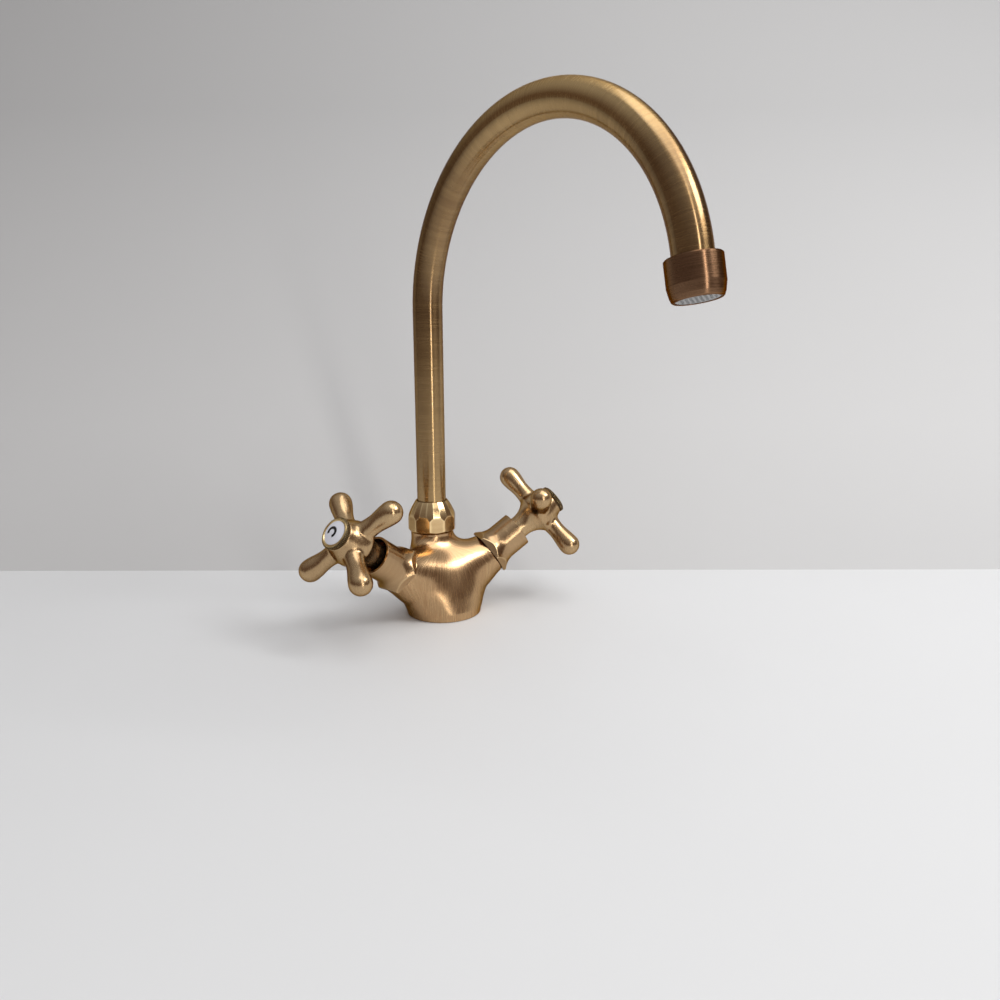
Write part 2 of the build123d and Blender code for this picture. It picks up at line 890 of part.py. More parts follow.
def make_aerator_insert():
    """Plastic flow insert: a flanged cup whose face is drilled with fine holes."""
    flange_low = housing_thread_depth - insert_flange_height
    face = housing_length - insert_recess
    cup_radius = housing_bore_radius - running_gap
    nose_radius = housing_lip_radius - running_gap
    lip_low = housing_length - housing_lip_height
    with BuildPart() as insert:
        turn(
            outlet_section,
            (0, flange_low),
            (bush_radius - running_gap, flange_low),
            (bush_radius - running_gap, housing_thread_depth),
            (cup_radius, housing_thread_depth),
            (cup_radius, lip_low - running_gap),
            (nose_radius, lip_low - running_gap),
            (nose_radius, face),
            (0, face),
        )
        round_bar(
            outlet,
            cup_radius - insert_wall,
            flange_low + gauze_thickness,
            face - insert_face_thickness,
            mode=Mode.SUBTRACT,
        )
        round_bar(
            outlet,
            cup_radius - insert_wall + gauze_thickness,
            flange_low,
            flange_low + gauze_thickness,
            mode=Mode.SUBTRACT,
        )
        with BuildSketch(outlet.offset(face - insert_face_thickness)) as holes:
            with HexLocations(insert_hole_pitch / 2, 7, 7, major_radius=False):
                Circle(insert_hole_radius)
            Circle(nose_radius - insert_wall, mode=Mode.INTERSECT)
        extrude(holes.sketch, amount=insert_face_thickness, mode=Mode.SUBTRACT)
    return insert


def make_aerator_gauze():
    """Round of steel gauze laid in the insert's mouth."""
    low = housing_thread_depth - insert_flange_height
    radius = housing_bore_radius - insert_wall + gauze_thickness - 2 * running_gap
    with BuildPart() as gauze:
        round_bar(outlet, radius, low, low + gauze_thickness)
    return gauze


def write(piece, name):
    """Labels a finished piece and writes its STEP file."""
    piece.part.label = name
    export_step(piece.part, f"parts/{name}.step")


write(make_body(), "body")
write(washer(Plane.XY, seal_outer_radius, seal_inner_radius, 0, seal_height), "base_seal")
write(make_spout_nut(), "spout_nut")
for name, bore, level in (
    ("lower_glide_ring", socket_radius + running_gap, lower_ring_level),
    ("upper_glide_ring", spout_radius + nut_bore_gap, upper_ring_level),
):
    ring = washer(column, collar_radius - running_gap, bore, level, level + glide_ring_thickness)
    write(ring, name)

write(make_spout_tube(), "spout_tube")
write(make_spout_ferrule(), "spout_ferrule")
ferrule_floor = socket_radius - ring_section - ring_squeeze
for name, level in zip(("lower_spout_o_ring", "upper_spout_o_ring"), ferrule_ring_levels()):
    write(o_ring(column_section, ferrule_floor, level), name)
write(make_outlet_bush(), "outlet_bush")
write(make_aerator_housing(), "aerator_housing")
washer_level = housing_thread_depth - insert_flange_height - washer_height
write(
    washer(
        outlet,
        bush_radius - running_gap,
        washer_bore_radius,
        washer_level,
        washer_level + washer_height,
    ),
    "aerator_washer",
)
write(make_aerator_insert(), "aerator_insert")
write(make_aerator_gauze(), "aerator_gauze")

for valve in valves:
    shaft_floor = spindle_radius - ring_section - ring_squeeze + running_gap
    pieces = {
        "shroud": make_shroud(valve),
        "headwork_body": make_headwork_body(valve),
        "headwork_gasket": washer(
            valve.along,
            flange_radius,
            chamber_radius,
            branch_length,
            flange_level,
        ),
        "seat_seal": washer(
            valve.along,
            disc_radius,
            seat_seal_bore_radius,
            seat_distance,
            fixed_disc_level,
        ),
        "fixed_disc": make_fixed_disc(valve),
        "moving_disc": make_moving_disc(valve),
        "spindle": make_spindle(valve),
        "spindle_clip": washer(
            valve.along,
            clip_radius,
            spindle_radius - clip_groove_depth,
            clip_level,
            clip_level + clip_thickness,
        ),
        "cross_handle": make_cross_handle(valve),
        "handle_screw": make_handle_screw(valve),
        "index_ring": make_index_ring(valve),
        "index_disc": make_index_disc(valve),
    }
    for name, level in zip(("lower_spindle_o_ring", "upper_spindle_o_ring"), spindle_ring_levels()):
        pieces[name] = o_ring(valve.section, shaft_floor - running_gap, level)
    for name, piece in pieces.items():
        write(piece, f"{valve.name}_{name}")
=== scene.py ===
import json
from math import cos, exp, pi, radians, sin, sqrt, tan

import bmesh
import bpy
import numpy as np
from mathutils import Matrix, Vector


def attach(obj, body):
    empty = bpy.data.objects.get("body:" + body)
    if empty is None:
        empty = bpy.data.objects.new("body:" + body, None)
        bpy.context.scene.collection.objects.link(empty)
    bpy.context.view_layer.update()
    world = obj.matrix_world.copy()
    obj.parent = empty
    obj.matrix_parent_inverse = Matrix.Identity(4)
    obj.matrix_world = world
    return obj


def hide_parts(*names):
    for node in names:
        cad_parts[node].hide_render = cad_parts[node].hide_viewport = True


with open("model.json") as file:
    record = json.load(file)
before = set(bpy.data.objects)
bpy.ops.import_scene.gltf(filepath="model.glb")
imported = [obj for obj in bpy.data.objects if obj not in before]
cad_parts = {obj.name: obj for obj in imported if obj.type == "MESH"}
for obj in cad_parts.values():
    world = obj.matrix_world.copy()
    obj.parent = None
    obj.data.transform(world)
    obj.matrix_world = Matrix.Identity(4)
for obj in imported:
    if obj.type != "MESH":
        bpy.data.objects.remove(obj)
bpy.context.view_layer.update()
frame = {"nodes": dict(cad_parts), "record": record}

# Shapes are worked out in millimetres and stored in metres
MM = 0.001

# Valve axes and the levels along them, as in the part
valve_root = Vector((0, 6.79, 9.13))
valve_rise, valve_cant = radians(35.1), radians(15.3)
branch_length = 42.07
shroud_mouth = 66.3
hub_top = 96.12
index_mark_level = 99.6
handle_turn = {"left": radians(46.13), "right": radians(-33.26)}
sides = ((-1, "left"), (1, "right"))
column_place = (0, 12.83)


def valve_direction(side):
    return Vector(
        (
            side * cos(valve_rise) * cos(valve_cant),
            -cos(valve_rise) * sin(valve_cant),
            sin(valve_rise),
        )
    )


def uphill(direction):
    return (Vector((0, 0, 1)) - direction * direction.z).normalized()


class Axis:
    """A turning axis with two directions square to it, in millimetres."""

    def __init__(self, origin, along, across):
        self.origin = Vector(origin)
        self.along = Vector(along).normalized()
        self.across = Vector(across).normalized()
        self.third = self.along.cross(self.across)

    def point(self, radius, angle, height):
        return (
            self.origin
            + self.along * height
            + self.across * (radius * cos(angle))
            + self.third * (radius * sin(angle))
        )


def valve_axis(side):
    direction = valve_direction(side)
    return Axis(valve_root, direction, uphill(direction))


def new_object(name, mesh_data, material, body, nodes=()):
    thing = bpy.data.objects.new(name, mesh_data)
    bpy.context.scene.collection.objects.link(thing)
    thing.data.materials.clear()
    thing.data.materials.append(material)
    if body:
        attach(thing, body)
    if nodes:
        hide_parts(*nodes)
    return thing


def grid_mesh(name, rows, coordinates):
    """A mesh from rings of points, the last joined to the first, with UV coordinates in metres."""
    count, rings = len(rows[0]), len(rows)
    vertices = [point * MM for row in rows for point in row]
    faces, uvs = [], []
    for ring in range(rings):
        after = (ring + 1) % rings
        for k in range(count):
            nxt = (k + 1) % count
            faces.append((ring * count + k, ring * count + nxt, after * count + nxt, after * count + k))
            uvs += [
                coordinates(ring, k),
                coordinates(ring, k + 1),
                coordinates(ring + 1, k + 1),
                coordinates(ring + 1, k),
            ]
    data = bpy.data.meshes.new(name)
    data.from_pydata([tuple(v) for v in vertices], [], faces)
    layer = data.uv_layers.new(name="surface")
    layer.data.foreach_set("uv", np.array(uvs, dtype=float).ravel())
    data.validate()
    fix_normals(data)
    data.shade_smooth()
    return data


def fix_normals(data):
    work = bmesh.new()
    work.from_mesh(data)
    bmesh.ops.recalc_face_normals(work, faces=work.faces)
    work.to_mesh(data)
    work.free()


nearly_straight = radians(172)
corner_share = 0.42
corner_steps, corner_support = 4, 0.03


def rounded(outline, radius):
    """A closed (radius, height) outline whose corners are rounded, with a support point each side."""
    points = [Vector(p) for p in outline]
    result = []
    for i, corner in enumerate(points):
        before, after = points[i - 1], points[(i + 1) % len(points)]
        a, b = before - corner, after - corner
        la, lb = a.length, b.length
        a, b = a.normalized(), b.normalized()
        opening = a.angle(b)
        if opening > nearly_straight:
            result.append(corner)
            continue
        reach = min(radius / tan(opening / 2), corner_share * la, corner_share * lb)
        start, end = corner + a * reach, corner + b * reach
        result.append(start + a * corner_support)
        for k in range(corner_steps + 1):
            t = k / corner_steps
            result.append(start * (1 - t) ** 2 + corner * 2 * t * (1 - t) + end * t**2)
        result.append(end + b * corner_support)
    return [(p.x, p.y) for p in result]


def divided(outline, step):
    """The closed outline with extra points, so that none are further apart than step."""
    result = []
    for (r0, h0), (r1, h1) in zip(outline, outline[1:] + outline[:1]):
        parts = max(1, int(sqrt((r1 - r0) ** 2 + (h1 - h0) ** 2) / step))
        result += [(r0 + (r1 - r0) * k / parts, h0 + (h1 - h0) * k / parts) for k in range(parts)]
    return result


plain_tone = 0.5


def set_tone(data, values):
    """Stores how bright each point's colour is: 0 is dark patina, 0.5 plain, 1 worn bright; in places low
    values are painted shade and high ones painted highlight.
    """
    layer = data.attributes.new("tone", "FLOAT", "POINT")
    layer.data.foreach_set("value", np.clip(np.array(values, dtype=float), 0, 1))


def set_plain_tone(data):
    set_tone(data, np.full(len(data.vertices), plain_tone))


def lathe(name, axis, outline, segments, edge, step, shape=None, tone=None):
    """Turns a closed (radius, height) outline; shape may change the radius with angle and height."""
    profile = divided(rounded(outline, edge), step)
    lengths = [0.0]
    for (r0, h0), (r1, h1) in zip(profile, profile[1:] + profile[:1]):
        lengths.append(lengths[-1] + sqrt((r1 - r0) ** 2 + (h1 - h0) ** 2))
    widest = max(radius for radius, height in profile)
    rows = []
    for radius, height in profile:
        row = []
        for k in range(segments):
            angle = 2 * pi * k / segments
            here = shape(radius, angle, height) if shape else radius
            row.append(axis.point(here, angle, height))
        rows.append(row)

    def coordinates(ring, k):
        return (2 * pi * k / segments * widest * MM, lengths[ring] * MM)

    data = grid_mesh(name, rows, coordinates)
    if tone:
        set_tone(data, [tone(r, 2 * pi * k / segments, h) for r, h in profile for k in range(segments)])
    else:
        set_plain_tone(data)
    return data


# Turn coordinates measure the way round the column at this radius in metres
turn_radius = 0.02
# Most of the noise lies in this span
noise_span = (0.3, 0.7)
grain_size, dent_size, dent_depth = 1000.0, 160.0, 0.00003
broad_share = 0.22
patina_span, streak_span = (0.35, 0.65), (-0.1, 0.1)
rough_below, brass_rough_above, plain_rough_above = 0.05, 0.06, 0.08
groove_strength, pit_strength = 0.8, 0.6
edge_tint = (0.36, 0.25, 0.16, 1.0)
stroke_stops = ((0.36, (0.66, 0.60, 0.54)), (0.60, (1.0, 1.0, 1.0)))
coat_roughness = 0.05
quarter_turn = 0.25


class Shader:
    """Builds a node material with short calls."""

    def __init__(self, name):
        self.material = bpy.data.materials.new(name)
        self.material.use_nodes = True
        self.tree = self.material.node_tree
        self.principled = self.tree.nodes["Principled BSDF"]

    def node(self, kind, inputs=None, **settings):
        node = self.tree.nodes.new(kind)
        for key, value in settings.items():
            setattr(node, key, value)
        for key, value in (inputs or {}).items():
            self.put(node.inputs[key], value)
        return node

    def put(self, socket, value):
        if hasattr(value, "is_output"):
            self.tree.links.new(value, socket)
        else:
            socket.default_value = value

    def set(self, **values):
        for key, value in values.items():
            self.put(self.principled.inputs[key.replace("_", " ")], value)

    def coordinates(self, use="Object", scale=(1, 1, 1)):
        """Object, UV or Turn coordinates, stretched by scale; Turn is the way round and the height."""
        source = self.node("ShaderNodeTexCoord").outputs["Object" if use == "Turn" else use]
        if use == "Turn":
            place = self.node("ShaderNodeSeparateXYZ", {"Vector": source}).outputs
            angle = self.math("ARCTAN2", place["X"], self.math("MULTIPLY", place["Y"], -1.0))
            way = {"X": self.math("MULTIPLY", angle, turn_radius), "Z": place["Z"]}
            source = self.node("ShaderNodeCombineXYZ", way).outputs["Vector"]
        return self.node("ShaderNodeMapping", {"Vector": source, "Scale": scale}).outputs["Vector"]

    def noise(self, vector, size, detail=4.0, roughness=0.55):
        inputs = {"Vector": vector, "Scale": size, "Detail": detail, "Roughness": roughness}
        return self.node("ShaderNodeTexNoise", inputs).outputs["Fac"]

    def ramp(self, value, stops):
        node = self.node("ShaderNodeValToRGB", {"Fac": value})
        for element, (place, colour) in zip(node.color_ramp.elements, stops):
            element.position = place
            element.color = (*colour, 1)
        return node.outputs["Color"]

    def levels(self, value, low, high, to_low, to_high):
        return self.node(
            "ShaderNodeMapRange",
            {"Value": value, "From Min": low, "From Max": high, "To Min": to_low, "To Max": to_high},
        ).outputs["Result"]

    def mix(self, share, a, b, blend="MIX"):
        node = self.node("ShaderNodeMix", data_type="RGBA", blend_type=blend)
        self.put(node.inputs["Factor"], share)
        self.put(node.inputs["A"], (*a, 1) if isinstance(a, tuple) else a)
        self.put(node.inputs["B"], (*b, 1) if isinstance(b, tuple) else b)
        return node.outputs["Result"]

    def math(self, operation, a, b):
        node = self.node("ShaderNodeMath", operation=operation)
        self.put(node.inputs[0], a)
        self.put(node.inputs[1], b)
        return node.outputs["Value"]

    def bump(self, height, distance, strength, onto=None):
        inputs = {"Height": height, "Distance": distance, "Strength": strength}
        if onto is not None:
            inputs["Normal"] = onto
        return self.node("ShaderNodeBump", inputs).outputs["Normal"]


def brass(
    name, light, dark, use, grain, rough, blotch_size,
    lines=0.3, coat=0.0, line_depth=0.00003, stretch=0.85, dent=0.2,
):
    """Antiqued brass: brushed grain, soft clouds of patina and worn or dark places, with painted highlight
    and painted shade where the tone carries them.
    """
    s = Shader(name)
    tone = s.node("ShaderNodeAttribute", attribute_name="tone").outputs["Fac"]
    fine = s.noise(s.coordinates(use, grain), grain_size, detail=4.0, roughness=0.75)
    broad_grain = tuple(g * broad_share for g in grain)
    broad = s.noise(s.coordinates(use, broad_grain), grain_size, detail=3.0, roughness=0.6)
    cloud = s.noise(s.coordinates(), blotch_size, detail=3.0, roughness=0.5)
    clouds = s.levels(cloud, *noise_span, *patina_span)
    # The tone brings in wear and patina, and in places painted highlight and painted shade
    share = s.math("ADD", clouds, s.levels(tone, 0.0, 1.0, -1.0, 1.0))
    share = s.math("ADD", share, s.levels(broad, *noise_span, *streak_span))
    colour = s.mix(s.levels(share, 0.0, 1.0, 0.0, 1.0), dark, light)
    colour = s.mix(lines, colour, s.ramp(fine, stroke_stops), "MULTIPLY")
    roughness = s.levels(fine, *noise_span, rough - rough_below, rough + brass_rough_above)
    s.set(Base_Color=colour, Metallic=1.0, Roughness=roughness, Specular_Tint=edge_tint)
    if coat:
        s.set(Coat_Weight=coat, Coat_Roughness=coat_roughness)
    if use == "UV":
        tangent = s.node("ShaderNodeTangent", direction_type="UV_MAP", uv_map="surface")
        s.set(Anisotropic=stretch, Anisotropic_Rotation=quarter_turn, Tangent=tangent.outputs["Tangent"])
    dents = s.noise(s.coordinates(), dent_size, detail=2.0)
    grooves = s.bump(fine, line_depth, groove_strength)
    s.set(Normal=s.bump(dents, dent_depth, dent, onto=grooves))
    return s.material


def make_materials():
    """One brass for each finish: cast, turned, spout, dark and bare machined."""
    across, around = (1.9, 1.9, 0.10), (0.05, 1.9, 1.0)
    return {
        "antique_brass": brass(
            "cast brass", (0.66, 0.46, 0.25), (0.44, 0.255, 0.13), "Turn", across, 0.25, 34.0,
            lines=0.5, line_depth=0.000006, dent=0.3,
        ),
        "handle_brass": brass(
            "cast handle brass", (0.65, 0.465, 0.255), (0.37, 0.23, 0.12), "Object", across, 0.25, 34.0,
            lines=0.15, line_depth=0.000004, dent=0.15,
        ),
        "light_brass": brass(
            "turned brass", (0.63, 0.445, 0.245), (0.34, 0.20, 0.105), "UV", around, 0.22, 40.0,
            line_depth=0.000008, stretch=0.6, dent=0.1,
        ),
        "nut_brass": brass(
            "polished nut brass", (0.80, 0.60, 0.33), (0.42, 0.26, 0.12), "UV", around, 0.15, 60.0,
            lines=0.15, line_depth=0.000003, stretch=0.4, dent=0.05,
        ),
        # The spout's dark colour is patina, made darker still as painted shade that dims the lamp's
        # highlight on the falling leg
        "spout_brass": brass(
            "spout brass", (0.52, 0.35, 0.16), (0.15, 0.08, 0.036), "UV", around, 0.24, 16.0,
            lines=0.2, coat=0.3, line_depth=0.000002, stretch=0.9, dent=0.15,
        ),
        "dark_brass": brass(
            "dark brass", (0.31, 0.18, 0.10), (0.15, 0.08, 0.045), "UV", around, 0.28, 40.0,
            line_depth=0.000006, dent=0.1,
        ),
        # The ring's near-black colour is painted shade between its teeth; its gold colour is painted
        # highlight on tips and bevel
        "ring_brass": brass(
            "knurled ring brass", (0.80, 0.60, 0.30), (0.05, 0.03, 0.018), "UV", around, 0.25, 40.0,
            lines=0.1, line_depth=0.000003, dent=0.05,
        ),
        "machined_brass": brass(
            "machined brass", (0.60, 0.43, 0.21), (0.34, 0.20, 0.09), "Object", across, 0.28, 70.0
        ),
    }


def plain(name, colour, rough, metallic=0.0, speckle=0.12, size=400.0, pit=0.00002):
    """A moulded, ground or rubber surface with faint speckle, roughness change and pits."""
    s = Shader(name)
    grain = s.noise(s.coordinates(), size, detail=4.0)
    darker = tuple(c * (1 - speckle) for c in colour)
    s.set(Base_Color=s.mix(grain, darker, colour), Metallic=metallic)
    s.set(Roughness=s.levels(grain, *noise_span, rough - rough_below, rough + plain_rough_above))
    s.set(Normal=s.bump(grain, pit, pit_strength))
    return s.material


materials = make_materials()
materials["porcelain"] = plain("porcelain", (0.80, 0.81, 0.88), 0.08, speckle=0.04, size=150.0, pit=0.000008)
materials["enamel"] = plain("black enamel", (0.012, 0.011, 0.012), 0.2, speckle=0.3, size=900.0)
materials["valve_ceramic"] = plain("valve ceramic", (0.85, 0.84, 0.80), 0.25, speckle=0.05)
materials["steel"] = plain("steel", (0.55, 0.55, 0.56), 0.3, metallic=1.0)
materials["rubber"] = plain("rubber", (0.025, 0.025, 0.025), 0.6, speckle=0.3)
materials["fibre"] = plain("fibre", (0.30, 0.09, 0.05), 0.7, speckle=0.4)
materials["glide_plastic"] = plain("glide plastic", (0.75, 0.74, 0.70), 0.45)
materials["grey_plastic"] = plain("grey plastic", (0.33, 0.33, 0.33), 0.4)

# Every CAD node gets its slot's material; some are replaced below
slots = {piece["node"]: piece["material_slot"] for piece in frame["record"]["subparts"]}
for node_name, node in frame["nodes"].items():
    node.data.materials.clear()
    node.data.materials.append(materials[slots[node_name]])
    set_plain_tone(node.data)


def neighbour_mean(values, edges, degree):
    total = np.zeros_like(values)
    for column_index in range(values.shape[1]):
        for here, there in ((0, 1), (1, 0)):
            total[:, column_index] += np.bincount(
                edges[:, here], weights=values[edges[:, there], column_index], minlength=len(values)
            )
    return total / degree


smooth_strength, melt_strength, melt_rounds = 0.62, 0.5, 800
wear, wear_rounds = 0.00025, 25


def cast_skin(name, node_name, material, body, voxel, rounds, back_step, hold, melt=None):
    """Remeshes a node, then smooths it; hold gives how much each point keeps its place."""
    source = frame["nodes"][node_name]
    data = source.data.copy()
    thing = new_object(name, data, material, None)
    remesh = thing.modifiers.new("remesh", "REMESH")
    remesh.mode = "VOXEL"
    remesh.voxel_size = voxel * MM
    remesh.adaptivity = 0.0
    bpy.context.view_layer.update()
    evaluated = thing.evaluated_get(bpy.context.evaluated_depsgraph_get())
    fresh = bpy.data.meshes.new_from_object(evaluated)
    thing.modifiers.clear()
    thing.data = fresh
    thing.data.name = name
    bpy.data.meshes.remove(data)
    count = len(fresh.vertices)
    places = np.empty(count * 3)
    fresh.vertices.foreach_get("co", places)
    places = places.reshape(-1, 3)
    edges = np.empty(len(fresh.edges) * 2, dtype=int)
    fresh.edges.foreach_get("vertices", edges)
    edges = edges.reshape(-1, 2)
    degree = np.bincount(edges.ravel(), minlength=count)[:, None]
    free = (1 - hold(places / MM))[:, None]
    for step in range(rounds):
        for strength in (smooth_strength, -back_step):
            places = places + strength * free * (neighbour_mean(places, edges, degree) - places)
    if melt:
        share = melt_strength * melt(places / MM)[:, None]
        for step in range(melt_rounds):
            places = places + share * (neighbour_mean(places, edges, degree) - places)
    fresh.vertices.foreach_set("co", places.ravel())
    fresh.update()
    normals = np.empty(count * 3)
    fresh.vertices.foreach_get("normal", normals)
    bulge = -((neighbour_mean(places, edges, degree) - places) * normals.reshape(-1, 3)).sum(axis=1)
    bulge = bulge[:, None] / (voxel * MM) ** 2
    for step in range(wear_rounds):
        bulge = 0.5 * bulge + 0.5 * neighbour_mean(bulge, edges, degree)
    set_tone(fresh, plain_tone + bulge[:, 0] * wear)
    fresh.materials.clear()
    fresh.materials.append(material)
    fresh.shade_smooth()
    fresh.update()
    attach(thing, body)
    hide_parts(node_name)


def ramp_up(values, low, high):
    return np.clip((values - low) / (high - low), 0, 1)


# Levels, widths and depths in millimetres between which a casting goes from crisp to smoothed
base_edge, neck_edge = (-2.2, -0.8), (47.5, 49.8)
branch_edge = (branch_length - 3.0, branch_length - 0.8)
socket_edge, bore_edge = (11.4, 12.4), (10.3, 11.0)
belly_rise, belly_front, saddle_rise = (5, 10), (3, 8), (26, 34)
neck_fall, branch_fall = (-49, -45), (-26, -18)
button_seat_radius, button_seat_depth = 9.4, 6
handle_bore_radius, handle_foot = 6, 61.8


def body_hold(points):
    """Keeps the base, the neck's top and the ends of the branches crisp."""
    kept = np.maximum(ramp_up(-points[:, 2], *base_edge), ramp_up(points[:, 2], *neck_edge))
    for side in (-1, 1):
        along = (points - np.array(valve_root)) @ np.array(valve_direction(side))
        kept = np.maximum(kept, ramp_up(along, *branch_edge))
    return kept


def body_melt(points):
    """Where neck, saddle and the belly's front run together in long curves, clear of socket and bores."""
    offset = points[:, :2] - np.array(column_place)
    outside = ramp_up(np.linalg.norm(offset, axis=1), *socket_edge)
    for side in (-1, 1):
        direction = np.array(valve_direction(side))
        from_root = points - np.array(valve_root)
        radial = from_root - (from_root @ direction)[:, None] * direction
        outside = np.minimum(outside, ramp_up(np.linalg.norm(radial, axis=1), *bore_edge))
    front = ramp_up(points[:, 2], *belly_rise) * ramp_up(-points[:, 1], *belly_front)
    level = np.maximum(ramp_up(points[:, 2], *saddle_rise), front) * ramp_up(-points[:, 2], *neck_fall)
    return outside * level * ramp_up(-abs(points[:, 0]), *branch_fall)


def handle_hold(side):
    """Keeps the hub's seat for the index button, its bore and its foot crisp."""

    def hold(points):
        direction = np.array(valve_direction(side))
        along = (points - np.array(valve_root)) @ direction
        radius = np.linalg.norm(points - np.array(valve_root) - along[:, None] * direction, axis=1)
        kept = np.zeros(len(points))
        kept[(radius < button_seat_radius) & (along > hub_top - button_seat_depth)] = 1
        kept[(radius < handle_bore_radius) | (along < handle_foot)] = 1
        return kept

    return hold


cast_skin(
    "cast_body", "body", materials["antique_brass"], "tap_body",
    voxel=0.45, rounds=150, back_step=0.629, hold=body_hold, melt=body_melt,
)
for side, word in sides:
    cast_skin(
        f"{word}_cast_handle", f"{word}_cross_handle", materials["handle_brass"], f"{word}_handle",
        voxel=0.35, rounds=90, back_step=0.632, hold=handle_hold(side),
    )


# Swan neck: a straight rise, one long bend and a short tail that stands in the outlet's bush
column = Vector((*column_place, 0))
swing = radians(4.78)
spout_forward = Vector((sin(swing), -cos(swing), 0))
spout_side = spout_forward.cross(Vector((0, 0, 1)))
bend_radius, bend_height, bend_angle = 95.7, 186.2, radians(168.5)
tube_radius, tube_bore = 9.0, 8.0
tube_foot, tube_tail = 63.0, 9.3
rise_steps, bend_steps, tail_steps, tube_segments = 60, 180, 4, 112

# How bright the tube's colour is at distances along it: darkest up the column and over the bend
# Partly patina, partly painted shade: the falling leg is darkened to dim the lamp's highlight
tube_tones = (
    (0, 0.75), (40, 0.63), (80, 0.57), (120, 0.40), (190, 0.38),
    (250, 0.70), (300, 0.78), (335, 0.62), (365, 0.40), (420, 0.46),
)


def spout_stations():
    """Centre, outward direction and distance along the tube for each ring."""
    stations = []
    for k in range(rise_steps):
        height = tube_foot + (bend_height - tube_foot) * k / rise_steps
        stations.append((column + Vector((0, 0, height)), -spout_forward, height - tube_foot))
    start = bend_height - tube_foot
    for k in range(bend_steps + 1):
        angle = bend_angle * k / bend_steps
        outward = -spout_forward * cos(angle) + Vector((0, 0, sin(angle)))
        centre = column + spout_forward * bend_radius + Vector((0, 0, bend_height))
        stations.append((centre + outward * bend_radius, outward, start + bend_radius * angle))
    end, outward, length = stations[-1]
    down = spout_forward * sin(bend_angle) + Vector((0, 0, cos(bend_angle)))
    for k in range(1, tail_steps + 1):
        place = end + down * tube_tail * k / tail_steps
        stations.append((place, outward, length + tube_tail * k / tail_steps))
    return stations


def make_tube():
    """The outer wall up and over, and the bore back again."""
    stations = spout_stations()
    rows, lengths = [], []
    for radius, order in ((tube_radius, stations), (tube_bore, list(reversed(stations)))):
        for centre, outward, length in order:
            row = []
            for k in range(tube_segments):
                angle = 2 * pi * k / tube_segments
                row.append(centre + spout_side * (radius * cos(angle)) + outward * (radius * sin(angle)))
            rows.append(row)
            lengths.append(length)
    lengths.append(lengths[0])

    def coordinates(ring, k):
        return (2 * pi * k / tube_segments * tube_radius * MM, lengths[ring] * MM)

    data = grid_mesh("swan_neck", rows, coordinates)
    distances, shades = zip(*tube_tones)
    tones = np.interp(lengths[:-1], distances, shades)
    set_tone(data, np.repeat(tones, tube_segments))
    return data


new_object("swan_neck", make_tube(), materials["spout_brass"], "spout", ["spout_tube"])


# Spout nut: above facet_start its facets close in on the tube
nut_foot, nut_flat, nut_sides = 50.75, 14.5, 10
facet_start, facet_reach, facet_slope, facet_curve = 8.2, 15.25, 0.27, 0.018
facet_edge_share = 1.6


def edge_brightened(distance, width, middle, brighter):
    """The tone at a distance from an edge that is painted brighter."""
    return middle + brighter * exp(-((distance / width) ** 2))


def from_middle(angle, step):
    """The angle from the middle of the nearest of a ring of equal faces."""
    return (angle + step / 2) % step - step / 2


def nut_faces(angle, height):
    """How far out the wrench flat and the facet above it lie at one place."""
    side = 2 * pi / nut_sides
    flat = nut_flat / cos(from_middle(angle, side))
    return flat, facet_apothem(height - nut_foot) / cos(from_middle(angle, side / 2))


def nut_shape(radius, angle, height):
    """Ten wrench flats, cut above by twenty facets that close in on the tube."""
    return min(radius, *nut_faces(angle, height))


def nut_edge_highlight(radius, angle, height):
    """Painted highlight along the edges between the nut's faces."""
    flat, facet = nut_faces(angle, height)
    side = 2 * pi / nut_sides
    face = side if flat < facet else side / 2
    to_corner = (face / 2 - abs(from_middle(angle, face))) * nut_flat
    nearest = min(abs(flat - facet) * facet_edge_share, to_corner)
    return edge_brightened(nearest, width=0.45, middle=0.45, brighter=0.5)


def facet_apothem(height):
    """The facets' distance from the axis: they close in faster and faster towards the rim."""
    rise = max(height - facet_start, 0)
    return facet_reach - facet_slope * rise - facet_curve * rise**2


shroud_bore, shroud_neck, shroud_rim, shroud_flat, shroud_foot = 10.4, 11.7, 15.7, 13.6, 42.32
flare_foot, flare_rise, flare_top, flare_radius, flare_steps = 43.82, 9.75, 53.57, 13.88, 16
ring_radius, ring_bore, ring_teeth, ring_tooth_depth = 9.6, 7.2, 60, 0.45
ring_tooth_zone, ring_bevel = 0.4, 1
# Ring tones: painted highlight on the bevel and the tooth tips, painted shade in the gaps between the teeth
bevel_highlight_tone, gap_shade_tone, tip_highlight_tone = 0.85, 0.05, 0.5
button_radius, button_dome = 7.15, 0.6
mark_turn, mark_shift = radians(118), Vector((0.4, -1.5))
mark_stroke, mark_depth = 1.6, 0.12
letter_c = [(2.6 * cos(radians(a)), 2.75 * sin(radians(a))) for a in range(42, 321, 9)]
letter_f = ([(-1.4, -2.7), (-1.4, 2.7)], [(-1.9, 2.2), (1.9, 2.2)], [(-1.4, 0), (1.3, 0)])


def shroud_profile():
    outline = [(shroud_bore, shroud_foot), (shroud_rim, shroud_foot)]
    for k in range(flare_steps + 1):
        height = flare_foot + flare_rise * k / flare_steps
        reach = shroud_neck + flare_radius - sqrt(flare_radius**2 - (flare_top - height) ** 2)
        outline.append((reach, height))
    return outline + [(shroud_neck, shroud_mouth), (shroud_bore, shroud_mouth)]


def shroud_shape(radius, angle, height):
    """The bell is cut by the hexagon's flats, which meet it in leaf-shaped edges."""
    return min(radius, shroud_flat / cos(from_middle(angle, pi / 3)))


